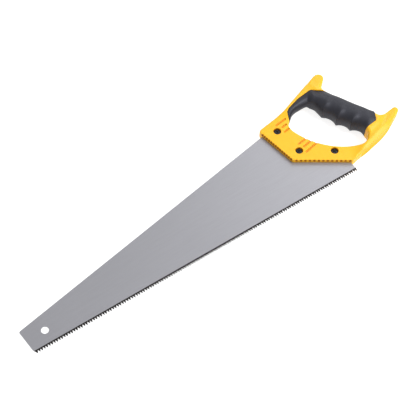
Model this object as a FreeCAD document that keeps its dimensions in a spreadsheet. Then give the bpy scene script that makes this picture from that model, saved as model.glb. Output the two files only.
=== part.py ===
import FreeCAD, Part
import Sketcher
import math
import os

"""Hand saw: a tapered steel blade held in a two-colour moulded handle by three screws.

Saw axes (millimetres): X runs along the tooth line from toe to heel, Y points from the
teeth to the back of the blade, Z is normal to the blade, and the blade's mid-plane is Z = 0.
The finished saw lies on the ground, resting on its grip and on the toe of the blade.
"""

Vector = FreeCAD.Vector
Z_AXIS = Vector(0, 0, 1)

SIZES = {
    # blade
    "blade_thickness": 1.0,
    "heel_x": 455.0,
    "heel_y": -1.8,
    "heel_top": 28.5,
    "tang_low_x": 446.0,
    "tang_low_y": 37.3,
    "tang_mid_x": 424.0,
    "tang_mid_y": 62.0,
    "tang_x": 416.0,
    "tang_back_y": 86.0,
    "tang_top_y": 105.4,
    "slot_front_x": 375.0,
    "slot_front_y": 97.8,
    "toe_x": -2.0,
    "toe_height": 28.0,
    "toe_radius": 2.0,
    "hang_hole_x": 23.5,
    "hang_hole_y": 14.3,
    "hang_hole_radius": 4.5,
    # teeth
    "tooth_pitch": 3.175,
    "tooth_tip_y": -5.9,
    "gullet_y": -2.5,
    "first_tip_x": 3.1,
    "last_tip_x": 454.0,
    "gullet_flat": 0.5,
    "gullet_pairs": 71,
    "fleam_slope": 0.3,
    # handle moulding
    "plate_thickness": 11.0,
    "rim_thickness": 19.0,
    "rim_fillet": 2.0,
    "core_thickness": 17.0,
    "plate_top": 5.5,
    "groove_width": 2.2,
    "groove_floor": 4.0,
    "notch_width": 2.6,
    "notch_reach": 0.7,
    "notch_floor": 2.4,
    # overmoulded grip
    "grip_thickness": 28.0,
    "grip_bar_width": 42.0,
    "bridge_bar_width": 27.0,
    "bridge_bar_thickness": 22.0,
    # handle screws and their sleeve nuts
    "upper_screw_x": 404.5,
    "upper_screw_y": 93.9,
    "middle_screw_x": 409.6,
    "middle_screw_y": 55.1,
    "lower_screw_x": 446.6,
    "lower_screw_y": 31.0,
    "head_radius": 4.6,
    "head_thickness": 2.0,
    "head_seat": 1.9,
    "recess_radius": 4.9,
    "shank_radius": 2.0,
    "shank_length": 3.4,
    "sleeve_radius": 2.8,
    "sleeve_bore": 2.1,
    "sleeve_length": 3.0,
    "sleeve_hole": 3.0,
    "drive_length": 5.2,
    "drive_width": 1.3,
    "drive_depth": 1.1,
    # how the saw lies on the ground
    "rest_tilt": 1.633,
    "centre_x": 277.7,
    "centre_y": 68.9,
    "rest_height": 8.47,
}

SCREW_PLACES = ("upper", "middle", "lower")

# Outlines are lists of corners (x, y, corner radius, rise), taken anticlockwise. The rise is
# how far the side that leads to the next corner bulges outwards as an arc.
HANDLE_OUTLINE = [
    (456.5, 6.5, 1.5, 0),
    (524.0, 18.6, 110.0, 0),
    (556.3, 37.6, 4.0, 0),
    (555.3, 44.6, 4.0, 0),
    (531.4, 42.0, 9.0, 0),
    (492.7, 118.3, 7.0, 0),
    (507.5, 131.0, 6.0, 0),
    (506.0, 141.5, 6.5, 0),
    (496.5, 139.8, 9.0, 0),
    (430.5, 114.9, 40.0, 0),
    (384.4, 107.2, 5.5, 0),
    (394.1, 47.3, 2.0, 0),
]

# The grip side of the hand hole: four finger scallops, between cusps.
FINGER_CUSPS = [(498.6, 34.5), (487.5, 50.5), (477.4, 67.0), (470.2, 86.8)]
SCALLOP_RISE = 3.2
HAND_HOLE = [(x, y, 0, SCALLOP_RISE) for x, y in FINGER_CUSPS[:-1]] + [
    (470.2, 86.8, 0, 0),
    (469.6, 109.6, 10.0, 0),
    (441.0, 109.2, 22.0, 0),
    (421.2, 93.5, 9.0, 0),
    (421.4, 84.0, 0, 8.7),
    (471.0, 23.8, 0, 0),
    (486.0, 16.8, 12.0, 0),
    (498.4, 28.5, 5.0, 0),
]

# The soft grip is the part of the handle inside this region, which runs past the handle's
# own outline on the back and through the hand hole.
GRIP_REGION = [
    (480.0, 32.0, 0, 0),
    (517.0, 37.0, 2.0, 0),
    (533.0, 61.6, 0, 0),
    (511.0, 103.0, 0, 0),
    (485.0, 117.0, 4.0, 0),
    (478.5, 123.2, 4.0, 0),
    (456.0, 120.0, 25.0, 0),
    (438.0, 114.4, 5.0, 0),
    (432.5, 111.0, 3.0, 0),
    (425.5, 94.5, 0, 0),
    (450.0, 95.0, 0, 0),
    (460.0, 60.0, 0, 0),
]

# The hard core inside the grip, which joins the lower arm to the upper horn.
CORE_OUTLINE = [
    (507.0, 29.0, 0, 0),
    (524.5, 36.0, 0, 0),
    (527.2, 42.3, 0, 0),
    (488.0, 124.0, 0, 0),
    (468.0, 122.5, 0, 0),
    (466.5, 113.8, 0, 0),
    (474.0, 103.0, 0, 0),
    (505.0, 38.0, 0, 0),
]

# The front of the handle is thinned to a flat plate inside this region.
PLATE_REGION = [
    (370.0, -20.0, 0, 0),
    (467.0, -20.0, 0, 0),
    (467.0, 6.0, 0, 0),
    (494.0, 26.0, 0, 0),
    (460.0, 60.0, 0, 0),
    (440.0, 95.0, 0, 0),
    (428.0, 97.0, 0, 0),
    (409.0, 115.0, 0, 0),
    (409.0, 130.0, 0, 0),
    (370.0, 130.0, 0, 0),
]

# Decorative grooves in the plate, from the first point to the second.
GROOVES = [
    ((408.9, 102.0), (424.3, 104.2)),
    ((413.7, 95.6), (419.8, 96.5)),
    ((412.0, 88.2), (419.4, 89.6)),
    ((415.4, 63.5), (430.0, 65.6)),
    ((418.5, 57.0), (433.5, 59.5)),
    ((416.0, 48.7), (437.0, 53.2)),
]

# The plate's two front edges carry notches: first notch, last notch and how many.
NOTCH_ROWS = [
    ((385.9, 99.5), (393.6, 50.5), 14),
    ((397.7, 45.0), (453.4, 8.6), 13),
]


def make_sizes(doc):
    """Put every driving size into the spreadsheet, each in a cell with its own alias."""
    sheet = doc.addObject("Spreadsheet::Sheet", "sizes")
    for row, (name, value) in enumerate(SIZES.items(), start=1):
        sheet.set(f"A{row}", name)
        sheet.set(f"B{row}", str(value))
        sheet.setAlias(f"B{row}", name)
    doc.recompute()
    return sheet


def drive(item, prop, formula):
    """Bind a property to the sheet: each {name} in the formula is a driving size."""
    names = {name: f"sizes.{name}" for name in SIZES}
    item.setExpression(prop, formula.format(**names))


def new_body(doc, name):
    body = doc.addObject("PartDesign::Body", name)
    body.Label = name
    return body


def origin_feature(body, role):
    return next(item for item in body.Origin.OriginFeatures if item.Role == role)


def new_sketch(body, name, height=None):
    """A sketch on the body's XY plane, raised to a driving height where one is named."""
    sketch = body.newObject("Sketcher::SketchObject", name)
    sketch.AttachmentSupport = [(origin_feature(body, "XY_Plane"), "")]
    sketch.MapMode = "FlatFace"
    if height:
        drive(sketch, ".AttachmentOffset.Base.z", height)
    return sketch


def unit(start, end):
    return (end - start).normalize()


def rounded_corner(before, corner, after, radius):
    """Start, middle and end of the arc that rounds a corner."""
    back = unit(corner, before)
    ahead = unit(corner, after)
    half_angle = back.getAngle(ahead) / 2
    trim = radius / math.tan(half_angle)
    depth = radius / math.sin(half_angle) - radius
    return corner + back * trim, corner + (back + ahead).normalize() * depth, corner + ahead * trim


def draw_outline(sketch, corners):
    """Draw a closed outline of straight sides, arcs and rounded corners."""
    points = [Vector(x, y, 0) for x, y, radius, rise in corners]
    rounds = []
    for i, (x, y, radius, rise) in enumerate(corners):
        if radius:
            rounds.append(rounded_corner(points[i - 1], points[i], points[(i + 1) % len(points)], radius))
        else:
            rounds.append((points[i], None, points[i]))
    for i, (x, y, radius, rise) in enumerate(corners):
        entry, middle, leave = rounds[i]
        if middle:
            sketch.addGeometry(Part.Arc(entry, middle, leave), False)
        target = rounds[(i + 1) % len(rounds)][0]
        if rise:
            outwards = unit(leave, target).cross(Z_AXIS)
            crown = (leave + target) / 2 + outwards * rise
            sketch.addGeometry(Part.Arc(leave, crown, target), False)
        else:
            sketch.addGeometry(Part.LineSegment(leave, target), False)


def draw_driven_polygon(sketch, corners):
    """Draw a closed polygon from the origin through corners named by two driving sizes."""
    points = [Vector()] + [Vector(SIZES[x], SIZES[y], 0) for x, y in corners]
    count = len(points)
    for i, point in enumerate(points):
        sketch.addGeometry(Part.LineSegment(point, points[(i + 1) % count]), False)
    for i in range(count):
        sketch.addConstraint(Sketcher.Constraint("Coincident", i, 2, (i + 1) % count, 1))
    sketch.addConstraint(Sketcher.Constraint("Coincident", 0, 1, -1, 1))
    for i, (x, y) in enumerate(corners, start=1):
        pin(sketch, i, 1, x, y)


def pin(sketch, geometry, vertex, x, y):
    """Fix a sketch point at two driving sizes."""
    for kind, name in (("DistanceX", x), ("DistanceY", y)):
        index = sketch.addConstraint(Sketcher.Constraint(kind, -1, 1, geometry, vertex, SIZES[name]))
        drive(sketch, f"Constraints[{index}]", "{" + name + "}")


def draw_circle(sketch, radius, centre=None):
    """Draw a circle of a driving radius, at the origin or at a driving place."""
    place = Vector(SIZES[centre[0]], SIZES[centre[1]], 0) if centre else Vector()
    geometry = sketch.addGeometry(Part.Circle(place, Z_AXIS, SIZES[radius]), False)
    index = sketch.addConstraint(Sketcher.Constraint("Radius", geometry, SIZES[radius]))
    drive(sketch, f"Constraints[{index}]", "{" + radius + "}")
    if centre:
        pin(sketch, geometry, 3, *centre)
    else:
        sketch.addConstraint(Sketcher.Constraint("Coincident", geometry, 3, -1, 1))


def draw_strip(sketch, start, end, width):
    """Draw a rectangle of a given width about the line from start to end."""
    side = unit(start, end).cross(Z_AXIS) * (width / 2)
    corners = [start + side, end + side, end - side, start - side]
    for i, corner in enumerate(corners):
        sketch.addGeometry(Part.LineSegment(corner, corners[(i + 1) % 4]), False)


def pad(body, sketch, length, name, side="Symmetric", reverse=False):
    feature = body.newObject("PartDesign::Pad", name)
    feature.Profile = sketch
    feature.SideType = side
    feature.Reversed = reverse
    drive(feature, "Length", length)
    return feature


def pocket(body, sketch, length, name, side="Symmetric", reverse=False):
    feature = body.newObject("PartDesign::Pocket", name)
    feature.Profile = sketch
    feature.SideType = side
    feature.Reversed = reverse
    drive(feature, "Length", length)
    return feature


def mirror_through_blade(body, feature, name):
    """Repeat a feature on the other side of the blade's mid-plane."""
    copy = body.newObject("PartDesign::Mirrored", name)
    copy.Originals = [feature]
    copy.MirrorPlane = (origin_feature(body, "XY_Plane"), [""])
    body.Tip = copy
    return copy


def fillet(body, feature, chosen, radius, name):
    """Round the edges of a feature that the chosen test accepts."""
    body.Document.recompute()
    names = [f"Edge{i + 1}" for i, edge in enumerate(feature.Shape.Edges) if chosen(edge)]
    rounding = body.newObject("PartDesign::Fillet", name)
    rounding.Base = (feature, names)
    drive(rounding, "Radius", radius)
    return rounding


def make_blade(doc):
    """The tapered blade: a row of teeth along its lower edge and a hole to hang it by."""
    body = new_body(doc, "blade")
    outline = new_sketch(body, "blade_outline")
    draw_driven_polygon(outline, [
        ("first_tip_x", "tooth_tip_y"),
        ("last_tip_x", "tooth_tip_y"),
        ("heel_x", "heel_y"),
        ("heel_x", "heel_top"),
        ("tang_low_x", "tang_low_y"),
        ("tang_mid_x", "tang_mid_y"),
        ("tang_x", "tang_back_y"),
        ("tang_x", "tang_top_y"),
        ("toe_x", "toe_height"),
    ])
    plate = pad(body, outline, "{blade_thickness}", "blade_plate")

    def at_toe_top(edge):
        low, high = edge.BoundBox.Center, Vector(SIZES["toe_x"], SIZES["toe_height"], 0)
        return low.distanceToPoint(high) < SIZES["blade_thickness"] / 2

    fillet(body, plate, at_toe_top, "{toe_radius}", "toe_rounding")

    holes = new_sketch(body, "hang_hole_circle")
    draw_circle(holes, "hang_hole_radius", ("hang_hole_x", "hang_hole_y"))
    pocket(body, holes, "2 * {blade_thickness}", "hang_hole")

    bolt_holes = new_sketch(body, "bolt_circles")
    for place in SCREW_PLACES:
        draw_circle(bolt_holes, "sleeve_hole", (f"{place}_screw_x", f"{place}_screw_y"))
    pocket(body, bolt_holes, "2 * {blade_thickness}", "bolt_holes")

    for pair_member, slope in enumerate((-SIZES["fleam_slope"], SIZES["fleam_slope"])):
        cut_gullets(body, pair_member, slope)
    return body


def cut_gullets(body, pair_member, slope):
    """Cut every second gullet between the teeth, slanted so that the teeth get sharp bevels."""
    pitch = SIZES["tooth_pitch"]
    flat = SIZES["gullet_flat"] / 2
    middle = SIZES["first_tip_x"] + (pair_member + 0.5) * pitch
    bottom = SIZES["gullet_y"]
    past_tips = bottom + 1.1 * (SIZES["tooth_tip_y"] - bottom)
    opening = flat + 1.1 * (pitch / 2 - flat)
    sketch = new_sketch(body, f"gullet_outline_{pair_member}")
    draw_outline(sketch, [
        (middle - flat, bottom, 0, 0),
        (middle - opening, past_tips, 0, 0),
        (middle + opening, past_tips, 0, 0),
        (middle + flat, bottom, 0, 0),
    ])
    gullet = pocket(body, sketch, "3 * {blade_thickness}", f"gullet_{pair_member}")
    gullet.UseCustomVector = True
    gullet.Direction = Vector(slope, 0, 1)
    row = body.newObject("PartDesign::LinearPattern", f"gullet_row_{pair_member}")
    row.Originals = [gullet]
    row.Direction = (origin_feature(body, "X_Axis"), [""])
    row.Mode = "Spacing"
    drive(row, "Offset", "2 * {tooth_pitch}")
    drive(row, "Occurrences", "{gullet_pairs}")
    body.Tip = row


def make_handle(doc):
    """The hard moulding: a flat front plate, a thick rim with two horns, and the grip's core."""
    body = new_body(doc, "handle_body")
    outline = new_sketch(body, "handle_outline")
    draw_outline(outline, HANDLE_OUTLINE)
    draw_outline(outline, HAND_HOLE)
    pad(body, outline, "{rim_thickness}", "rim")

    plate_region = new_sketch(body, "plate_region", "{plate_top}")
    draw_outline(plate_region, PLATE_REGION)
    step = pocket(body, plate_region, "{rim_thickness}", "plate_step", "One side", True)
    mirror_through_blade(body, step, "plate_step_below")

    grip_region = new_sketch(body, "grip_region")
    draw_outline(grip_region, GRIP_REGION)
    pocket(body, grip_region, "{grip_thickness}", "grip_seat")
    core_outline = new_sketch(body, "core_outline")
    draw_outline(core_outline, CORE_OUTLINE)
    pad(body, core_outline, "{core_thickness}", "core")

    round_rim(body, outline)

    cut_front_notches(body)
    cut_grooves(body)
    cut_screw_holes(body)
    cut_blade_slot(body)
    return body


def round_rim(body, outline):
    """Round the rim's edges where its outer wall and the hand hole meet its two faces."""
    top = SIZES["rim_thickness"] / 2
    tolerance = 0.01

    def on_rim(edge):
        middle = edge.valueAt((edge.FirstParameter + edge.LastParameter) / 2)
        foot = Part.Vertex(middle.x, middle.y, 0)
        at_face = abs(abs(middle.z) - top) < tolerance
        return at_face and outline.Shape.distToShape(foot)[0] < tolerance

    fillet(body, body.Tip, on_rim, "{rim_fillet}", "rim_rounding")


def cut_front_notches(body):
    """A row of small notches along the plate's two front edges, on both faces."""
    sketch = new_sketch(body, "notch_outlines", "{notch_floor}")
    for first, last, count in NOTCH_ROWS:
        first = Vector(*first, 0)
        last = Vector(*last, 0)
        inwards = Z_AXIS.cross(unit(first, last)) * SIZES["notch_reach"]
        for i in range(count):
            centre = first + (last - first) * (i / (count - 1))
            draw_strip(sketch, centre - inwards, centre + inwards, SIZES["notch_width"])
    notches = pocket(body, sketch, "{plate_thickness}", "notches", "One side", True)
    mirror_through_blade(body, notches, "notches_below")


def cut_grooves(body):
    """Short decorative grooves beside the upper and middle screws, on both faces."""
    sketch = new_sketch(body, "groove_outlines", "{groove_floor}")
    for start, end in GROOVES:
        draw_strip(sketch, Vector(*start, 0), Vector(*end, 0), SIZES["groove_width"])
    grooves = pocket(body, sketch, "{plate_thickness}", "grooves", "One side", True)
    mirror_through_blade(body, grooves, "grooves_below")


def cut_screw_holes(body):
    """A hole through the plate for each sleeve, and a recess in both faces for the heads."""
    through = new_sketch(body, "sleeve_circles")
    recess = new_sketch(body, "recess_circles", "{head_seat}")
    for place in SCREW_PLACES:
        centre = (f"{place}_screw_x", f"{place}_screw_y")
        draw_circle(through, "sleeve_hole", centre)
        draw_circle(recess, "recess_radius", centre)
    pocket(body, through, "{plate_thickness}", "sleeve_holes")
    recesses = pocket(body, recess, "{plate_thickness}", "recesses", "One side", True)
    mirror_through_blade(body, recesses, "recesses_below")


def cut_blade_slot(body):
    """The slot that the blade's tang fills."""
    sketch = new_sketch(body, "slot_outline")
    draw_outline(sketch, [(SIZES[x], SIZES[y], 0, 0) for x, y in (
        ("slot_front_x", "tooth_tip_y"),
        ("heel_x", "tooth_tip_y"),
        ("heel_x", "heel_top"),
        ("tang_low_x", "tang_low_y"),
        ("tang_mid_x", "tang_mid_y"),
        ("tang_x", "tang_back_y"),
        ("tang_x", "tang_top_y"),
        ("slot_front_x", "slot_front_y"),
    )])
    pocket(body, sketch, "{blade_thickness}", "blade_slot")


def make_bar(doc, name, start, end, width, thickness):
    """A bar of oval section from start to end, which gives the grip its rounded back."""
    start = Vector(*start, 0)
    end = Vector(*end, 0)
    along = unit(start, end)
    oval = doc.addObject("Part::Ellipse", f"{name}_oval")
    drive(oval, "MajorRadius", width + " / 2")
    drive(oval, "MinorRadius", thickness + " / 2")
    oval.Placement = FreeCAD.Placement(start, FreeCAD.Rotation(Z_AXIS.cross(along), Z_AXIS, along))
    bar = doc.addObject("Part::Extrusion", name)
    bar.Base = oval
    bar.DirMode = "Custom"
    bar.Dir = along
    bar.LengthFwd = start.distanceToPoint(end)
    bar.Solid = True
    return bar


def make_prism(doc, name, outlines, thickness):
    """A prism through one or more outlines, centred on the blade's mid-plane."""
    body = new_body(doc, name)
    sketch = new_sketch(body, f"{name}_outline")
    for corners in outlines:
        draw_outline(sketch, corners)
    pad(body, sketch, thickness, f"{name}_pad")
    return body


def make_grip(doc):
    """The soft overmoulded grip: a rounded sleeve around the handle's core."""
    rounded = doc.addObject("Part::MultiFuse", "grip_form")
    rounded.Shapes = [
        make_bar(doc, "grip_bar", (522.0, 18.4), (463.5, 139.8), "{grip_bar_width}", "{grip_thickness}"),
        make_bar(doc, "bridge_bar", (500.0, 119.0), (415.0, 99.0), "{bridge_bar_width}",
                 "{bridge_bar_thickness}"),
    ]
    skin = doc.addObject("Part::MultiCommon", "grip_skin")
    skin.Shapes = [
        make_prism(doc, "grip_block", [HANDLE_OUTLINE, HAND_HOLE], "{grip_thickness}"),
        make_prism(doc, "grip_extent", [GRIP_REGION], "2 * {grip_thickness}"),
        rounded,
    ]
    grip = doc.addObject("Part::Cut", "grip_overmould")
    grip.Label = "grip_overmould"
    grip.Base = skin
    grip.Tool = make_prism(doc, "grip_core", [CORE_OUTLINE], "{core_thickness}")
    return grip


def make_screw(doc, place):
    """A handle screw: a low round head with a cross recess, and a shank."""
    body = new_body(doc, f"handle_screw_{place}")
    head_circle = new_sketch(body, "head_circle", "{head_seat}")
    draw_circle(head_circle, "head_radius")
    pad(body, head_circle, "{head_thickness}", "head", "One side")
    shank_circle = new_sketch(body, "shank_circle", "{head_seat}")
    draw_circle(shank_circle, "shank_radius")
    pad(body, shank_circle, "{shank_length}", "shank", "One side", True)
    cut_drive(body, "{head_seat} + {head_thickness}", False)
    return body


def cut_drive(body, height, reverse):
    """The cross recess in a head, cut from the given height into the metal."""
    cross = new_sketch(body, "drive_cross", height)
    half_length = SIZES["drive_length"] / 2
    half_width = SIZES["drive_width"] / 2
    quarter = [(half_length, -half_width), (half_length, half_width), (half_width, half_width)]
    corners = []
    for turn in range(4):
        for x, y in quarter:
            corner = FreeCAD.Rotation(Z_AXIS, 90 * turn).multVec(Vector(x, y, 0))
            corners.append((corner.x, corner.y, 0, 0))
    draw_outline(cross, corners)
    pocket(body, cross, "{drive_depth}", "drive_recess", "One side", reverse)


def make_sleeve_nut(doc, place):
    """The nut behind each screw: a round head and a sleeve that passes through the blade."""
    body = new_body(doc, f"sleeve_nut_{place}")
    head_circle = new_sketch(body, "head_circle", "-{head_seat}")
    draw_circle(head_circle, "head_radius")
    pad(body, head_circle, "{head_thickness}", "head", "One side", True)
    sleeve_circle = new_sketch(body, "sleeve_circle", "-{head_seat}")
    draw_circle(sleeve_circle, "sleeve_radius")
    pad(body, sleeve_circle, "{sleeve_length}", "sleeve", "One side")
    bore_circle = new_sketch(body, "bore_circle", "-{head_seat}")
    draw_circle(bore_circle, "sleeve_bore")
    pocket(body, bore_circle, "{sleeve_length}", "bore", "One side", True)
    cut_drive(body, "-{head_seat} - {head_thickness}", True)
    return body


def lay_down(parts):
    """Turn the whole saw about Y and shift it, so that it lies on the ground plane Z = 0."""
    turn = FreeCAD.Rotation(Vector(0, 1, 0), -SIZES["rest_tilt"])
    middle = Vector(SIZES["centre_x"], SIZES["centre_y"], 0)
    lift = Vector(0, 0, SIZES["rest_height"])
    resting = FreeCAD.Placement(lift - turn.multVec(middle), turn)
    for part in parts:
        part.Placement = resting.multiply(part.Placement)


def check(doc, parts):
    """Stop if any object failed or any sub-part is not one valid solid."""
    for item in doc.Objects:
        if "Invalid" in item.State or "Error" in item.State:
            raise RuntimeError(f"{item.Name} failed: {item.State}")
    for part in parts:
        if part.Shape.isNull() or not part.Shape.isValid() or len(part.Shape.Solids) != 1:
            raise RuntimeError(f"{part.Label} is not one valid solid")


def main():
    doc = FreeCAD.newDocument("hand_saw")
    make_sizes(doc)
    parts = [make_blade(doc), make_handle(doc), make_grip(doc)]
    for place in SCREW_PLACES:
        centre = Vector(SIZES[f"{place}_screw_x"], SIZES[f"{place}_screw_y"], 0)
        for fastener in (make_screw(doc, place), make_sleeve_nut(doc, place)):
            fastener.Placement.Base = centre
            parts.append(fastener)
    doc.recompute()
    lay_down(parts)
    doc.recompute()
    check(doc, parts)
    os.makedirs("parts", exist_ok=True)
    for part in parts:
        part.Shape.exportStep(f"parts/{part.Label}.step")


main()
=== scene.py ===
"""Hand saw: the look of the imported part, in metres, in the frame of its CAD model.

The handle, the grip and the screws are shapes of their own. Each is written as a distance
function in the saw's own axes (millimetres: X along the tooth line from toe to heel, Y from
the teeth to the back of the blade, Z normal to the blade) and meshed at its zero surface.
The blade is the CAD blade with a steel material.
"""
import math

import bpy
import numpy as np
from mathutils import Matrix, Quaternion, Vector


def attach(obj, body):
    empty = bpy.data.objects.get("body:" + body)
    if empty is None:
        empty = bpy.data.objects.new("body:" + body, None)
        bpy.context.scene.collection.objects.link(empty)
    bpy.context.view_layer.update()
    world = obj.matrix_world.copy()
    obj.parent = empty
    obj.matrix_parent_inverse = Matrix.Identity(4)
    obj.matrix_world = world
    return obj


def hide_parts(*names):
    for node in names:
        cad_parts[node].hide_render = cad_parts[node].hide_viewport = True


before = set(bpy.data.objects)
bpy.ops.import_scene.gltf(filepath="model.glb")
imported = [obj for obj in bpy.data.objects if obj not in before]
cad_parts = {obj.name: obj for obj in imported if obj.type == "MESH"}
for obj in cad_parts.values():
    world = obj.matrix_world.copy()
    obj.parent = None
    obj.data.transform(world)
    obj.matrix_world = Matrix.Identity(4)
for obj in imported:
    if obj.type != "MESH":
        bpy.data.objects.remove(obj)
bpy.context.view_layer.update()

MM = 0.001

# How the saw lies in the row frame: turned about Y, then shifted.
REST_TILT = math.radians(1.633)
CENTRE_X = 277.7
CENTRE_Y = 68.9
REST_HEIGHT = 8.47

# Outline corners are (x, y, corner radius, rise of the side that leads to the next corner).
HANDLE_OUTLINE = [
    (456.5, 6.5, 1.5, 0),
    (524.0, 18.6, 110.0, 0),
    (556.3, 37.6, 4.0, 0),
    (555.3, 44.6, 4.0, 0),
    (531.4, 42.0, 9.0, 0),
    (492.7, 118.3, 7.0, 0),
    (507.5, 131.0, 6.0, 0),
    (506.0, 141.5, 6.5, 0),
    (496.5, 139.8, 9.0, 0),
    (430.5, 114.9, 40.0, 0),
    (384.4, 107.2, 5.5, 0),
    (394.1, 47.3, 2.0, 0),
]
FINGER_CUSPS = [(498.6, 34.5), (487.5, 50.5), (477.4, 67.0), (470.2, 86.8)]
SCALLOP_RISE = 4.0
HAND_HOLE = [(x, y, 0, SCALLOP_RISE) for x, y in FINGER_CUSPS[:-1]] + [
    (470.2, 86.8, 0, 0),
    (469.6, 109.6, 10.0, 0),
    (441.0, 109.2, 22.0, 0),
    (421.2, 93.5, 9.0, 0),
    (421.4, 84.0, 0, 8.7),
    (471.0, 23.8, 0, 0),
    (486.0, 16.8, 12.0, 0),
    (498.4, 28.5, 5.0, 0),
]
GRIP_REGION = [
    (480.0, 32.0, 0, 0),
    (517.0, 37.0, 2.0, 0),
    (533.0, 61.6, 0, 0),
    (511.0, 103.0, 0, 0),
    (485.0, 117.0, 4.0, 0),
    (478.5, 123.2, 4.0, 0),
    (456.0, 120.0, 25.0, 0),
    (438.0, 114.4, 5.0, 0),
    (432.5, 111.0, 3.0, 0),
    (425.5, 94.5, 0, 0),
    (450.0, 95.0, 0, 0),
    (460.0, 60.0, 0, 0),
]
CORE_OUTLINE = [
    (507.0, 29.0, 0, 0),
    (524.5, 36.0, 0, 0),
    (527.2, 42.3, 0, 0),
    (488.0, 124.0, 0, 0),
    (468.0, 122.5, 0, 0),
    (466.5, 113.8, 0, 0),
    (474.0, 103.0, 0, 0),
    (505.0, 38.0, 0, 0),
]
SLOT_OUTLINE = [
    (375.0, -3.8, 0, 0),
    (455.0, -3.8, 0, 0),
    (455.0, 28.5, 0, 0),
    (446.0, 37.3, 0, 0),
    (424.0, 62.0, 0, 0),
    (416.0, 86.0, 0, 0),
    (416.0, 105.4, 0, 0),
    (375.0, 97.8, 0, 0),
]
FRONT_EDGE = [(386.2, 97.0), (394.1, 47.3), (456.5, 6.5)]
ARM_RIDGE = [(459.0, 8.5), (480.0, 15.0), (503.0, 22.0), (526.0, 27.5), (553.0, 39.0)]
ARM_RISE = 4.2
ARM_SPREAD = 6.5
ARM_CREST = 1.5
HORN_RISE = 3.2
HORN_LINE = ((409.0, 115.0), (428.0, 97.0))
BACK_LINE = ((514.0, 36.0), (549.0, 43.0))
CREASE_LINE = ((454.0, 97.0), (474.0, 119.0))
FLUTE_START = 472.0
FLUTE_END = 553.0
FLUTE_DEPTH = 3.5
FLUTE_HALF = 8.0
GROOVES = [
    ((408.9, 102.0), (424.3, 104.2)),
    ((413.7, 95.6), (419.8, 96.5)),
    ((412.0, 88.2), (419.4, 89.6)),
    ((415.4, 63.5), (430.0, 65.6)),
    ((418.5, 57.0), (433.5, 59.5)),
    ((416.0, 48.7), (437.0, 53.2)),
]
NOTCH_ROWS = [
    ((385.9, 99.5), (393.6, 50.5), 14),
    ((397.7, 45.0), (453.4, 8.6), 13),
]
SCREWS = {"upper": (404.5, 93.9), "middle": (409.6, 55.1), "lower": (446.6, 31.0)}

# Half thicknesses and edge roundings, in millimetres like everything above.
PLATE_HALF = 5.5
GRIP_HALF = 13.6
SHOULDER_HALF = 11.0
SHOULDER_EDGE = 6.5
SHOULDER_SLOPE = 0.35
SHOULDER_BLEND = 3.0
FINGER_RIDGE = 1.3
KNUCKLE_WIDTH = 4.0
GRIP_AXIS = (-0.434, 0.901)
CORE_HALF = 4.0
SLOT_HALF = 0.5
NOTCH_FLOOR = 2.4
NOTCH_HALF_WIDTH = 1.3
NOTCH_REACH = 0.7
GROOVE_HALF_WIDTH = 1.2
GROOVE_DEPTH = 1.5
SLEEVE_HOLE = 3.0
RECESS_RADIUS = 4.9
HEAD_SEAT = 1.9
HEAD_RADIUS = 4.6
HEAD_THICKNESS = 2.0
GRIP_EDGE = 8.0
GRIP_BEVEL = 0.38
LOWER_SEAM_RISE = 3.4
COLLAR_REACH = 10.5
COLLAR_EDGE = 4.5
BACK_FALL = 2.2
HOLE_EDGE = 1.2
SEAM_EDGE = 0.45
ARC_ERROR = 0.02
SHANK_RADIUS = 2.0
SHANK_LENGTH = 3.4
SLEEVE_RADIUS = 2.8
SLEEVE_BORE = 2.1
SLEEVE_LENGTH = 3.0
DRIVE_HALF_LENGTH = 2.6
DRIVE_HALF_WIDTH = 0.65
DRIVE_DEPTH = 1.1
DRIVE_TAPER = 0.35
HEAD_CROWN = 0.035

# The hardened teeth, in metres across the row frame's Y.
HARD_BAND_TOP = -0.0701
HARD_BAND_FADE = 0.0004

# Boxes that hold each shape, as low and high corners, and the spacing of its mesh.
BODY_BOX = ((381.0, 2.0, -13.3), (561.0, 146.0, 13.3))
GRIP_BOX = ((422.0, 27.0, -15.4), (532.0, 127.0, 15.4))
SCREW_BOX = ((-5.2, -5.2, -2.0), (5.2, 5.2, 4.6))
NUT_BOX = ((-5.2, -5.2, -4.6), (5.2, 5.2, 1.8))
MOULDING_PITCH = 0.7
FASTENER_PITCH = 0.16
NEWTON_STEPS = 3
LONGEST_MOVE = 0.6
GRADIENT_STEP = 0.02

FLOOR_HALF = 6.0
WORLD_STRENGTH = 0.7


# ---------------------------------------------------------------- distance functions

def step(t):
    """0 to 1, smoothly."""
    t = np.clip(t, 0.0, 1.0)
    return t * t * (3.0 - 2.0 * t)


def both(a, b, r):
    """Inside both shapes, with their shared edge rounded by r."""
    reach = np.hypot(np.maximum(a + r, 0.0), np.maximum(b + r, 0.0))
    return np.minimum(np.maximum(a, b), -r) + reach


def either(a, b, r):
    """Inside one shape or the other, with the corner between them filled by r."""
    return -both(-a, -b, r)


def soft_min(a, b, reach):
    """The smaller of two values, blended where they differ by less than reach."""
    h = np.maximum(reach - np.abs(a - b), 0.0) / reach
    return np.minimum(a, b) - h * h * reach / 4


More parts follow.
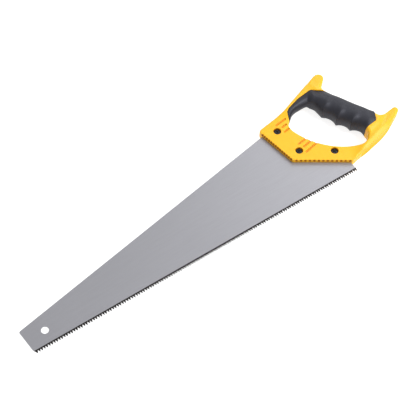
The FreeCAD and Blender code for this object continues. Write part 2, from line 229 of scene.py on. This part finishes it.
def arc_between(start, middle, end):
    """Points along the arc through three points."""
    (ax, ay), (bx, by), (cx, cy) = start, middle, end
    d = 2 * (ax * (by - cy) + bx * (cy - ay) + cx * (ay - by))
    aa, bb, cc = ax * ax + ay * ay, bx * bx + by * by, cx * cx + cy * cy
    ox = (aa * (by - cy) + bb * (cy - ay) + cc * (ay - by)) / d
    oy = (aa * (cx - bx) + bb * (ax - cx) + cc * (bx - ax)) / d
    first = math.atan2(ay - oy, ax - ox)
    turn = (math.atan2(cy - oy, cx - ox) - first + math.pi) % (2 * math.pi) - math.pi
    radius = math.hypot(ax - ox, ay - oy)
    count = max(4, math.ceil(abs(turn) / math.sqrt(8 * ARC_ERROR / radius)))
    angles = [first + turn * i / count for i in range(count + 1)]
    return [(ox + radius * math.cos(a), oy + radius * math.sin(a)) for a in angles]


def outline_points(corners):
    """The corner list as a closed run of points, its rounded corners and arcs filled in."""
    places = [Vector(c[:2]) for c in corners]
    count = len(corners)
    rounds = []
    for i, (x, y, radius, rise) in enumerate(corners):
        here = places[i]
        if not radius:
            rounds.append([tuple(here)])
            continue
        back = (places[i - 1] - here).normalized()
        ahead = (places[(i + 1) % count] - here).normalized()
        half = back.angle(ahead) / 2
        trim = radius / math.tan(half)
        depth = radius / math.sin(half) - radius
        middle = here + (back + ahead).normalized() * depth
        rounds.append(arc_between(here + back * trim, middle, here + ahead * trim))
    points = []
    for i, (x, y, radius, rise) in enumerate(corners):
        points += rounds[i]
        if rise:
            start = Vector(rounds[i][-1])
            end = Vector(rounds[(i + 1) % count][0])
            along = (end - start).normalized()
            crown = (start + end) / 2 + Vector((along.y, -along.x)) * rise
            points += arc_between(start, crown, end)[1:-1]
    return points


def outline_distance(points, x, y):
    """Distance to a closed outline, negative inside."""
    nearest = np.full(x.shape, np.inf)
    inside = np.zeros(x.shape, bool)
    for (ax, ay), (bx, by) in zip(points, points[1:] + points[:1]):
        ex, ey = bx - ax, by - ay
        px, py = x - ax, y - ay
        t = np.clip((px * ex + py * ey) / (ex * ex + ey * ey), 0.0, 1.0)
        nearest = np.minimum(nearest, (px - ex * t) ** 2 + (py - ey * t) ** 2)
        if ey:
            inside ^= ((ay > y) != (by > y)) & (px < ex * py / ey)
    return np.where(inside, -1.0, 1.0) * np.sqrt(nearest)


def path_distance(points, x, y):
    """Distance to an open run of lines, and how far along it the nearest place is."""
    nearest = np.full(x.shape, np.inf)
    place = np.zeros(x.shape)
    travelled = 0.0
    for (ax, ay), (bx, by) in zip(points, points[1:]):
        length = math.hypot(bx - ax, by - ay)
        ex, ey = (bx - ax) / length, (by - ay) / length
        t = np.clip((x - ax) * ex + (y - ay) * ey, 0.0, length)
        away = np.hypot(x - ax - ex * t, y - ay - ey * t)
        closer = away < nearest
        nearest = np.where(closer, away, nearest)
        place = np.where(closer, travelled + t, place)
        travelled += length
    return nearest, place / travelled


def side_of(a, b, x, y):
    """Signed distance from the line through a and b, positive on its left."""
    length = math.hypot(b[0] - a[0], b[1] - a[1])
    return ((b[0] - a[0]) * (y - a[1]) - (b[1] - a[1]) * (x - a[0])) / length


def notch_distance(x, y):
    """Distance to the row of notch rectangles along the plate's two front edges."""
    nearest = np.full(x.shape, np.inf)
    for (ax, ay), (bx, by), count in NOTCH_ROWS:
        length = math.hypot(bx - ax, by - ay)
        ex, ey = (bx - ax) / length, (by - ay) / length
        along = (x - ax) * ex + (y - ay) * ey
        across = np.abs((y - ay) * ex - (x - ax) * ey)
        pitch = length / (count - 1)
        index = np.clip(np.round(along / pitch), 0, count - 1)
        wide = np.abs(along - index * pitch) - NOTCH_HALF_WIDTH
        nearest = np.minimum(nearest, np.maximum(wide, across - NOTCH_REACH))
    return nearest


def plan(x, y):
    """Everything about the handle that depends on the place in plan only."""
    f = {"outer": outline_distance(HANDLE_POINTS, x, y)}
    f["hole"] = outline_distance(HOLE_POINTS, x, y)
    f["region"] = outline_distance(REGION_POINTS, x, y)
    f["core"] = outline_distance(CORE_POINTS, x, y)
    f["slot"] = outline_distance(SLOT_POINTS, x, y)
    f["notch"] = notch_distance(x, y)
    f["front"] = path_distance(FRONT_EDGE, x, y)[0]
    grooves = [path_distance(groove, x, y)[0] for groove in GROOVES]
    f["groove"] = np.minimum.reduce(grooves)
    f["screw"] = np.minimum.reduce([np.hypot(x - sx, y - sy) for sx, sy in SCREWS.values()])

    ridge, along = path_distance(ARM_RIDGE, x, y)
    rise = ARM_RISE * step(along / 0.3) * (1 - 0.55 * step((along - 0.55) / 0.45))
    arm = rise * np.exp((ARM_CREST - np.hypot(ridge, ARM_CREST)) / ARM_SPREAD)
    horn = HORN_RISE * step(side_of(*HORN_LINE, x, y) / 20.0)
    horn *= step((y - 80.0) / 20.0) * (1 - 0.45 * step((y - 118.0) / 26.0))
    f["collar"] = np.exp(-(f["region"] / COLLAR_REACH) ** 2) * step((x - 478.0) / 8.0)
    f["seam_half"] = GRIP_EDGE + LOWER_SEAM_RISE * step((75.0 - y) / 15.0)
    collar = (f["seam_half"] - PLATE_HALF) * f["collar"]
    back = step(side_of(*BACK_LINE, x, y) / 7.0) * step((x - 508.0) / 8.0)
    f["half"] = PLATE_HALF + np.hypot(np.maximum(arm, horn), collar) - BACK_FALL * back
    window = step((x - FLUTE_START) / 3.0) * step((FLUTE_END - x) / 24.0)
    f["fluted"] = window * step((30.0 - y + 0.21 * (x - 500.0)) / 4.0)

    width = np.maximum(f["hole"] - f["outer"], 1.0)
    f["across"] = np.abs(f["hole"] + f["outer"]) / width
    crease = side_of(*CREASE_LINE, x, y)
    f["shoulder"] = step(0.75 + crease / 7.0)
    main = GRIP_HALF
    along = GRIP_AXIS[0] * x + GRIP_AXIS[1] * y
    for cx, cy in FINGER_CUSPS:
        past_cusp = along - GRIP_AXIS[0] * cx - GRIP_AXIS[1] * cy
        knuckle = np.exp(-(past_cusp / KNUCKLE_WIDTH) ** 2)
        main = main + FINGER_RIDGE * knuckle * step(1.2 - f["hole"] / 20.0)
    sloped = SHOULDER_EDGE + SHOULDER_SLOPE * np.maximum(f["hole"], 0.0)
    facet = soft_min(sloped, SHOULDER_HALF, SHOULDER_BLEND)
    f["full"] = main + (facet - main) * f["shoulder"]
    return f


def hard_body(f, x, y, z):
    """The hard yellow moulding."""
    up = np.abs(z)
    edge = 0.7 + 1.9 * step((f["front"] - 3.0) / 8.0) - 1.4 * f["fluted"]
    edge = edge + COLLAR_EDGE * f["collar"]
    outer = f["outer"] + FLUTE_DEPTH * f["fluted"] * np.clip(1 - (z / FLUTE_HALF) ** 2, 0, 1)
    body = both(outer, up - f["half"], edge)
    body = both(body, -f["hole"], HOLE_EDGE + COLLAR_EDGE * f["collar"])
    body = both(body, -f["region"], SEAM_EDGE)
    core = both(f["core"], up - CORE_HALF, 0.4)
    body = np.minimum(body, core)
    body = both(body, -np.maximum(f["notch"], NOTCH_FLOOR - up), 0.25)
    groove = np.maximum(f["groove"] - GROOVE_HALF_WIDTH, f["half"] - GROOVE_DEPTH - up)
    body = both(body, -groove, 0.25)
    body = both(body, -np.maximum(f["screw"] - RECESS_RADIUS, HEAD_SEAT - up), 0.35)
    body = np.maximum(body, SLEEVE_HOLE - f["screw"])
    return np.maximum(body, -np.maximum(f["slot"], up - SLOT_HALF))


def soft_grip(f, x, y, z):
    """The soft black grip: oval in section, with finger scallops and a bridging shoulder."""
    up = np.abs(z)
    depth = np.maximum(-f["region"], 0.0)
    half = soft_min(f["full"], f["seam_half"] + GRIP_BEVEL * depth, 3.0)
    square = (1 - np.clip(depth / 9.0, 0.0, 1.0)) ** 2
    shape = (up / half) ** (2.3 + square) + f["across"] ** (2.7 + 1.8 * square)
    grip = half / 2.5 * (shape - 1.0)
    grip = both(grip, f["region"], SEAM_EDGE)
    core = both(f["core"], up - CORE_HALF, 0.4)
    return np.maximum(grip, -core)


HANDLE_POINTS = outline_points(HANDLE_OUTLINE)
HOLE_POINTS = outline_points(HAND_HOLE)
REGION_POINTS = outline_points(GRIP_REGION)
CORE_POINTS = outline_points(CORE_OUTLINE)
SLOT_POINTS = outline_points(SLOT_OUTLINE)


def head_with_cross(x, y, out):
    """A low domed head and its cross recess; out is the distance outwards from mid-blade."""
    away = np.hypot(x, y)
    top = HEAD_SEAT + HEAD_THICKNESS
    dome = top - HEAD_CROWN * away ** 2
    head = both(both(away - HEAD_RADIUS, out - dome, 0.5), HEAD_SEAT - out, 0.15)
    wide, deep = np.abs(x), np.abs(y)
    arms = np.minimum(np.maximum(wide - DRIVE_HALF_LENGTH, deep - DRIVE_HALF_WIDTH),
                      np.maximum(deep - DRIVE_HALF_LENGTH, wide - DRIVE_HALF_WIDTH))
    cross = both(arms + DRIVE_TAPER * (top - out), top - DRIVE_DEPTH - out, 0.1)
    return head, cross


def rod(x, y, z, radius, middle, length):
    """A straight cylinder about the screw's own axis."""
    return np.maximum(np.hypot(x, y) - radius, np.abs(z - middle) - length / 2)


def screw(f, x, y, z):
    """A low domed head with a cross recess, and its shank, about the screw's own axis."""
    head, cross = head_with_cross(x, y, z)
    shank = rod(x, y, z, SHANK_RADIUS, HEAD_SEAT - SHANK_LENGTH / 2, SHANK_LENGTH)
    return both(np.minimum(head, shank), -cross, 0.12)


def sleeve_nut(f, x, y, z):
    """The nut on the far face: a head with a cross recess, and a sleeve with a bore."""
    head, cross = head_with_cross(x, y, -z)
    sleeve = rod(x, y, z, SLEEVE_RADIUS, SLEEVE_LENGTH / 2 - HEAD_SEAT, SLEEVE_LENGTH)
    bore = np.maximum(np.hypot(x, y) - SLEEVE_BORE, -HEAD_SEAT - z)
    return both(np.maximum(np.minimum(head, sleeve), -bore), -cross, 0.12)


# ---------------------------------------------------------------- meshing

def sample(field, points, with_plan):
    x, y, z = points.T
    return field(plan(x, y) if with_plan else None, x, y, z)


def slope(field, points, with_plan):
    """The field's gradient at each point."""
    e = GRADIENT_STEP
    x, y, z = points.T
    parts = []
    for dx, dy in ((e, 0), (0, e)):
        ahead = plan(x + dx, y + dy) if with_plan else None
        behind = plan(x - dx, y - dy) if with_plan else None
        parts.append(field(ahead, x + dx, y + dy, z) - field(behind, x - dx, y - dy, z))
    here = plan(x, y) if with_plan else None
    parts.append(field(here, x, y, z + e) - field(here, x, y, z - e))
    return np.stack(parts, axis=1) / (2 * e)


def surface(field, box, pitch, with_plan=True):
    """Vertices, quads and normals of the field's zero surface (surface nets)."""
    axes = [np.arange(a, b + pitch, pitch) for a, b in zip(*box)]
    x = axes[0][:, None, None]
    y = axes[1][None, :, None]
    z = axes[2][None, None, :]
    wide = np.broadcast_to(x, (len(axes[0]), len(axes[1]), 1))
    deep = np.broadcast_to(y, (len(axes[0]), len(axes[1]), 1))
    value = field(plan(wide, deep) if with_plan else None, wide, deep, z)
    inside = value < 0
    corner = [(i, j, k) for i in (0, 1) for j in (0, 1) for k in (0, 1)]
    nx, ny, nz = value.shape

    def at(c, source):
        return source[c[0]:nx - 1 + c[0], c[1]:ny - 1 + c[1], c[2]:nz - 1 + c[2]]

    count = sum(at(c, inside).astype(np.int8) for c in corner)
    active = (count > 0) & (count < 8)
    cells = np.argwhere(active)
    number = np.full(active.shape, -1, np.int64)
    number[active] = np.arange(len(cells))
    total = np.zeros((len(cells), 3))
    crossings = np.zeros(len(cells))
    for c in corner:
        for axis in range(3):
            if c[axis]:
                continue
            d = list(c)
            d[axis] = 1
            va = at(c, value)[active]
            vb = at(d, value)[active]
            cut = (va < 0) != (vb < 0)
            t = np.where(cut, va / np.where(cut, va - vb, 1.0), 0.0)
            place = np.tile(np.array(c, float), (len(cells), 1))
            place[:, axis] += t
            total += np.where(cut[:, None], place, 0.0)
            crossings += cut
    points = (cells + total / crossings[:, None]) * pitch + np.array([a[0] for a in axes])

    quads = []
    for axis in range(3):
        u, v = [a for a in range(3) if a != axis]
        lower = [slice(1, n - 1) for n in value.shape]
        upper = list(lower)
        lower[axis] = slice(0, value.shape[axis] - 1)
        upper[axis] = slice(1, value.shape[axis])
        first = inside[tuple(lower)]
        changed = np.argwhere(first != inside[tuple(upper)])
        starts_inside = first[tuple(changed.T)]
        base = changed.copy()
        base[:, u] += 1
        base[:, v] += 1
        ring = []
        for du, dv in ((-1, -1), (0, -1), (0, 0), (-1, 0)):
            cell = base.copy()
            cell[:, u] += du
            cell[:, v] += dv
            ring.append(number[tuple(cell.T)])
        ring = np.stack(ring, axis=1)
        flip = starts_inside if axis == 1 else ~starts_inside
        ring[flip] = ring[flip][:, ::-1]
        quads.append(ring)
    quads = np.concatenate(quads)

    start = points.copy()
    reach = LONGEST_MOVE * pitch
    for _ in range(NEWTON_STEPS):
        g = slope(field, points, with_plan)
        size = np.maximum((g * g).sum(axis=1), 0.05)
        move = -g * (sample(field, points, with_plan) / size)[:, None]
        points = start + np.clip(points + move - start, -reach, reach)
    g = slope(field, points, with_plan)
    normals = g / np.maximum(np.linalg.norm(g, axis=1), 1e-9)[:, None]
    return points, quads, normals


def turned(vectors):
    """Turned from the saw's axes to those of the row frame."""
    c, s = math.cos(REST_TILT), math.sin(REST_TILT)
    x, y, z = vectors.T
    return np.stack([x * c - z * s, y, x * s + z * c], axis=1)


def to_row(points, centre=(0.0, 0.0)):
    """From the saw's axes in millimetres to the row frame in metres."""
    offset = np.array([centre[0] - CENTRE_X, centre[1] - CENTRE_Y, 0.0])
    return (turned(points + offset) + np.array([0.0, 0.0, REST_HEIGHT])) * MM


def painted_recess_shade(points):
    """Painted shade for each point, 0 to 1: how deep it lies in a groove, a notch or a screw
    recess, plus a light touch on the arm's flute.
    """
    f = plan(points[:, 0], points[:, 1])
    up = np.abs(points[:, 2])
    # Painted shade: recesses darken with depth below the face, and the flute gets a faint share.
    below = step((f["half"] - 0.3 - up) / 1.2)
    groove = step((GROOVE_HALF_WIDTH + 0.4 - f["groove"]) / 0.4)
    notch = step((0.4 - f["notch"]) / 0.4) * step((f["half"] - 0.3 - up) / 1.5)
    notch = notch * step((up - NOTCH_FLOOR + 0.3) / 0.3)
    recess = step((RECESS_RADIUS + 0.4 - f["screw"]) / 0.4)
    flute = 0.12 * f["fluted"] * step((FLUTE_HALF - up) / 1.5) * step((4.0 + f["outer"]) / 2.0)
    return np.maximum(below * np.maximum(0.5 * groove, 0.5 * recess), np.maximum(notch, flute))


def make_piece(name, node, material, shape, centre=(0.0, 0.0), with_plan=False):
    points, quads, normals = shape
    mesh = bpy.data.meshes.new(name)
    mesh.from_pydata(to_row(points, centre).tolist(), [], quads.tolist())
    mesh.polygons.foreach_set("use_smooth", np.ones(len(quads), bool))
    if with_plan:
        # painted shade for the grooves, notches, screw recesses and flute, stored on each vertex
        recess_shade = mesh.attributes.new("recess_shade", "FLOAT", "POINT")
        recess_shade.data.foreach_set("value", painted_recess_shade(points).astype(np.float32))
    mesh.normals_split_custom_set_from_vertices(turned(normals).tolist())
    mesh.materials.append(material)
    piece = bpy.data.objects.new(name, mesh)
    bpy.context.scene.collection.objects.link(piece)
    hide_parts(node)
    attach(piece, "root")
    return piece


# ---------------------------------------------------------------- materials

def new_material(name):
    material = bpy.data.materials.new(name)
    material.use_nodes = True
    nodes = material.node_tree.nodes
    shader = nodes["Principled BSDF"]
    place = nodes.new("ShaderNodeTexCoord")
    return material, nodes, material.node_tree.links, shader, place.outputs["Object"]


def noise(nodes, links, place, scale, detail=4.0, stretch=(1.0, 1.0, 1.0)):
    mapping = nodes.new("ShaderNodeMapping")
    mapping.inputs["Scale"].default_value = stretch
    links.new(place, mapping.inputs["Vector"])
    texture = nodes.new("ShaderNodeTexNoise")
    texture.inputs["Scale"].default_value = scale
    texture.inputs["Detail"].default_value = detail
    links.new(mapping.outputs["Vector"], texture.inputs["Vector"])
    return texture.outputs["Fac"]


def ramp(nodes, links, source, stops):
    node = nodes.new("ShaderNodeValToRGB")
    elements = node.color_ramp.elements
    while len(elements) < len(stops):
        elements.new(0.5)
    for element, (place, colour) in zip(elements, stops):
        element.position = place
        element.color = (*colour, 1.0)
    links.new(source, node.inputs["Fac"])
    return node.outputs["Color"]


def spread(nodes, links, source, low, high):
    node = nodes.new("ShaderNodeMapRange")
    node.inputs["To Min"].default_value = low
    node.inputs["To Max"].default_value = high
    links.new(source, node.inputs["Value"])
    return node.outputs["Result"]


def bump(nodes, links, shader, height, strength, distance):
    node = nodes.new("ShaderNodeBump")
    node.inputs["Strength"].default_value = strength
    node.inputs["Distance"].default_value = distance
    links.new(height, node.inputs["Height"])
    links.new(node.outputs["Normal"], shader.inputs["Normal"])


def yellow_plastic():
    """Injection-moulded yellow plastic: faint mottling and a fine spark texture, with painted
    shade that darkens it in grooves, notches, screw recesses and the flute.
    """
    material, nodes, links, shader, place = new_material("yellow_plastic")
    mottle = noise(nodes, links, place, 90.0, 3.0)
    tone = ramp(nodes, links, mottle,
                [(0.3, (0.79, 0.418, 0.010)), (0.7, (0.83, 0.448, 0.013))])
    # painted shade: the recess attribute tints the yellow darker and redder in grooves, notches,
    # screw recesses and the flute
    recess_shade = nodes.new("ShaderNodeAttribute")
    recess_shade.attribute_name = "recess_shade"
    recess_shade_tint = ramp(nodes, links, recess_shade.outputs["Fac"],
                  [(0.0, (1.0, 1.0, 1.0)), (0.5, (0.88, 0.60, 0.15)), (1.0, (0.42, 0.20, 0.01))])
    mix = nodes.new("ShaderNodeMix")
    mix.data_type = "RGBA"
    mix.blend_type = "MULTIPLY"
    mix.inputs["Factor"].default_value = 1.0
    links.new(tone, mix.inputs["A"])
    links.new(recess_shade_tint, mix.inputs["B"])
    links.new(mix.outputs["Result"], shader.inputs["Base Color"])
    grain = noise(nodes, links, place, 1600.0, 3.0)
    links.new(spread(nodes, links, mottle, 0.33, 0.42), shader.inputs["Roughness"])
    bump(nodes, links, shader, grain, 0.08, 0.0002)
    shader.inputs["Specular IOR Level"].default_value = 0.35
    shader.inputs["Subsurface Weight"].default_value = 0.12
    shader.inputs["Subsurface Radius"].default_value = (1.0, 0.6, 0.1)
    shader.inputs["Subsurface Scale"].default_value = 0.002
    return material


def black_rubber():
    """Soft-touch elastomer: charcoal, matt, with a pebbled skin and slightly rubbed patches."""
    material, nodes, links, shader, place = new_material("black_rubber")
    patches = noise(nodes, links, place, 60.0, 4.0)
    tone = ramp(nodes, links, patches,
                [(0.3, (0.009, 0.009, 0.013)), (0.75, (0.014, 0.014, 0.019))])
    links.new(tone, shader.inputs["Base Color"])
    links.new(spread(nodes, links, patches, 0.45, 0.54), shader.inputs["Roughness"])
    pebbles = noise(nodes, links, place, 1100.0, 2.0)
    bump(nodes, links, shader, pebbles, 0.2, 0.0003)
    shader.inputs["Specular IOR Level"].default_value = 0.48
    shader.inputs["Specular Tint"].default_value = (0.86, 0.88, 1.0, 1.0)
    return material


def blade_steel():
    """Satin steel, ground lengthwise, with the dark band of the hardened teeth."""
    material, nodes, links, shader, place = new_material("blade_steel")
    streaks = noise(nodes, links, place, 900.0, 5.0, (0.02, 1.0, 1.0))
    clouds = noise(nodes, links, place, 22.0, 3.0, (0.4, 1.0, 1.0))
    steel = ramp(nodes, links, streaks,
                 [(0.25, (0.352, 0.352, 0.378)), (0.75, (0.375, 0.375, 0.404))])
    split = nodes.new("ShaderNodeSeparateXYZ")
    links.new(place, split.inputs["Vector"])
    band = nodes.new("ShaderNodeMapRange")
    band.inputs["From Min"].default_value = HARD_BAND_TOP
    band.inputs["From Max"].default_value = HARD_BAND_TOP - HARD_BAND_FADE
    links.new(split.outputs["Y"], band.inputs["Value"])
    mix = nodes.new("ShaderNodeMix")
    mix.data_type = "RGBA"
    mix.inputs["B"].default_value = (0.03, 0.026, 0.026, 1.0)
    links.new(band.outputs["Result"], mix.inputs["Factor"])
    links.new(steel, mix.inputs["A"])
    links.new(mix.outputs["Result"], shader.inputs["Base Color"])
    links.new(spread(nodes, links, clouds, 0.4, 0.5), shader.inputs["Roughness"])
    bump(nodes, links, shader, streaks, 0.1, 0.0001)
    shader.inputs["Metallic"].default_value = 0.9
    return material


def black_steel():
    """Blackened screws, worn a little in random patches."""
    material, nodes, links, shader, place = new_material("black_steel")
    wear = noise(nodes, links, place, 500.0, 3.0)
    tone = ramp(nodes, links, wear, [(0.45, (0.018, 0.018, 0.02)), (0.8, (0.06, 0.06, 0.065))])
    links.new(tone, shader.inputs["Base Color"])
    links.new(spread(nodes, links, wear, 0.3, 0.5), shader.inputs["Roughness"])
    bump(nodes, links, shader, wear, 0.1, 0.0001)
    shader.inputs["Metallic"].default_value = 0.6
    return material


def floor_material():
    """Pale paper that glows a little, so that the saw's shadow stays faint."""
    material, nodes, links, shader, place = new_material("floor_paper")
    fibre = noise(nodes, links, place, 30.0, 2.0)
    tone = ramp(nodes, links, fibre, [(0.3, (0.46, 0.46, 0.46)), (0.7, (0.48, 0.48, 0.48))])
    links.new(tone, shader.inputs["Base Color"])
    shader.inputs["Roughness"].default_value = 0.9
    shader.inputs["Emission Color"].default_value = (1.0, 1.0, 1.0, 1.0)
    shader.inputs["Emission Strength"].default_value = 0.8
    return material


# ---------------------------------------------------------------- the saw

yellow = yellow_plastic()
rubber = black_rubber()
steel = blade_steel()
dark = black_steel()

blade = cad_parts["blade"]
blade.data.materials.clear()
blade.data.materials.append(steel)

body_shape = surface(hard_body, BODY_BOX, MOULDING_PITCH)
make_piece("handle_moulding", "handle_body", yellow, body_shape, with_plan=True)
grip_shape = surface(soft_grip, GRIP_BOX, MOULDING_PITCH)
make_piece("soft_grip", "grip_overmould", rubber, grip_shape)

screw_shape = surface(screw, SCREW_BOX, FASTENER_PITCH, False)
nut_shape = surface(sleeve_nut, NUT_BOX, FASTENER_PITCH, False)
for place, centre in SCREWS.items():
    make_piece(f"screw_{place}", f"handle_screw_{place}", dark, screw_shape, centre)
    make_piece(f"nut_{place}", f"sleeve_nut_{place}", dark, nut_shape, centre)


# ---------------------------------------------------------------- studio

def make_floor():
    mesh = bpy.data.meshes.new("floor")
    h = FLOOR_HALF
    mesh.from_pydata([(-h, -h, 0), (h, -h, 0), (h, h, 0), (-h, h, 0)], [], [(0, 1, 2, 3)])
    mesh.materials.append(floor_material())
    floor = bpy.data.objects.new("floor", mesh)
    bpy.context.scene.collection.objects.link(floor)


def make_light(name, place, aim, size, power):
    data = bpy.data.lights.new(name, "AREA")
    data.shape = "DISK"
    data.size = size
    data.energy = power
    light = bpy.data.objects.new(name, data)
    light.location = place
    light.rotation_euler = (Vector(aim) - Vector(place)).to_track_quat("-Z", "Y").to_euler()
    bpy.context.scene.collection.objects.link(light)


def make_camera():
    """The viewpoint: a long lens above the toe end, looking down at the middle of the saw."""
    azimuth = math.radians(-129.43)
    elevation = math.radians(55.06)
    roll = math.radians(5.99)
    aim = Vector((-0.0072, -0.0005, 0.0))
    level = math.cos(elevation)
    back = Vector((math.cos(azimuth) * level, math.sin(azimuth) * level, math.sin(elevation)))
    distance = 1.3938
    data = bpy.data.cameras.new("camera")
    data.sensor_width = 36.0
    data.lens = 103.5
    camera = bpy.data.objects.new("camera", data)
    camera.location = aim + back * distance
    turn = back.to_track_quat("Z", "Y")
    camera.rotation_mode = "QUATERNION"
    camera.rotation_quaternion = Quaternion(back, roll) @ turn
    bpy.context.scene.collection.objects.link(camera)
    bpy.context.scene.camera = camera


make_floor()
make_camera()
make_light("key", (1.18, -0.97, 1.85), (0.05, 0, 0), 1.6, 51.0)
make_light("back", (1.5, 1.0, 1.3), (0.1, 0, 0), 1.2, 9.0)
world = bpy.data.worlds.new("studio")
world.use_nodes = True
world.node_tree.nodes["Background"].inputs["Color"].default_value = (1.0, 1.0, 1.0, 1.0)
world.node_tree.nodes["Background"].inputs["Strength"].default_value = WORLD_STRENGTH
bpy.context.scene.world = world
bpy.context.scene.view_settings.view_transform = "Standard"
